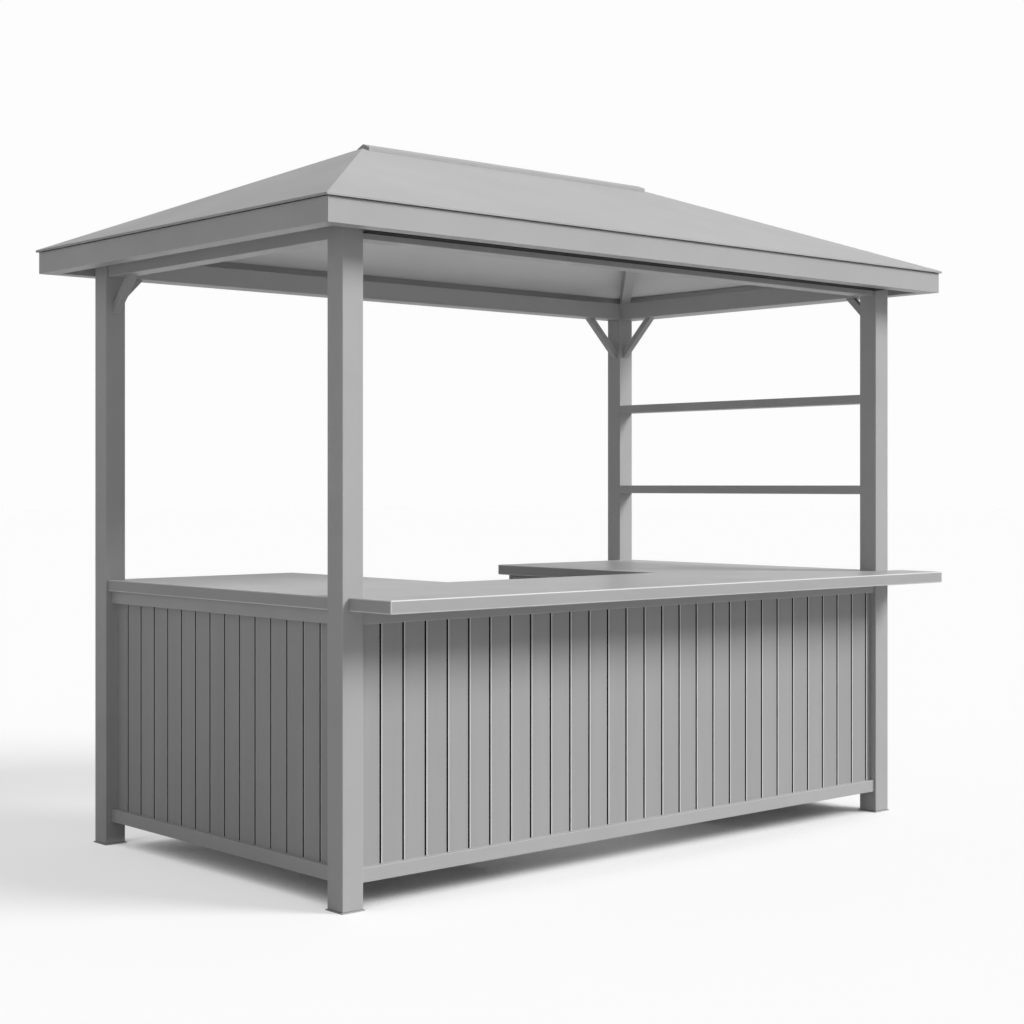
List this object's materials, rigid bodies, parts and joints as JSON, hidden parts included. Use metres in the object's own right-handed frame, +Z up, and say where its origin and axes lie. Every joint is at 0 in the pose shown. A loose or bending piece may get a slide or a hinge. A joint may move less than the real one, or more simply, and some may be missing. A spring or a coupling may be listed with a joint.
{
  "type": "garden bar pavilion",
  "caption": "Open bar pavilion with a hipped metal roof on square posts, a U-shaped counter over boarded skirts, knee braces and side shelves.",
  "frame": {"origin": "on the floor, under the centre of the whole outline", "axes": "+X along the long side, to the right as customers at the front see it; +Y to the open rear; +Z up"},
  "size_m": [3.45, 2.131, 2.875],
  "materials": {
    "frame": "satin powder coat, light grey",
    "roof_frame": "satin powder coat, light grey",
    "roof_sheet": "smooth satin powder-coated sheet, light grey",
    "counter_top": "semi-gloss coated slab, light grey",
    "cladding": "satin coated tongue-and-groove boards, light grey",
    "shelf": "satin powder coat, light grey",
    "foot_plate": "satin powder coat, light grey"
  },
  "bodies": {
    "root": {"post_front_left": "frame", "post_front_right": "frame", "post_rear_left": "frame", "post_rear_right": "frame", "foot_plates": "foot_plate", "beam_front": "frame", "beam_rear": "frame", "beam_left": "frame", "beam_right": "frame", "knee_braces": "frame", "fascia_front": "roof_frame", "fascia_rear": "roof_frame", "fascia_left": "roof_frame", "fascia_right": "roof_frame", "roof_front": "roof_sheet", "roof_rear": "roof_sheet", "roof_left": "roof_sheet", "roof_right": "roof_sheet", "ridge_cap": "roof_sheet", "ridge_beam": "roof_frame", "hip_rafters": "roof_frame", "counter_front": "counter_top", "counter_left": "counter_top", "counter_right": "counter_top", "top_rail_front": "frame", "top_rail_left": "frame", "top_rail_right": "frame", "top_rails_rear": "frame", "bottom_rail_front": "frame", "bottom_rail_left": "frame", "bottom_rail_right": "frame", "bottom_rails_rear": "frame", "cladding_front": "cladding", "cladding_left": "cladding", "cladding_right": "cladding", "cladding_rear": "cladding", "inner_rail_front": "frame", "inner_rail_left": "frame", "inner_rail_right": "frame", "counter_legs": "frame", "shelf_lower": "shelf", "shelf_upper": "shelf"}
  },
  "joints": []
}
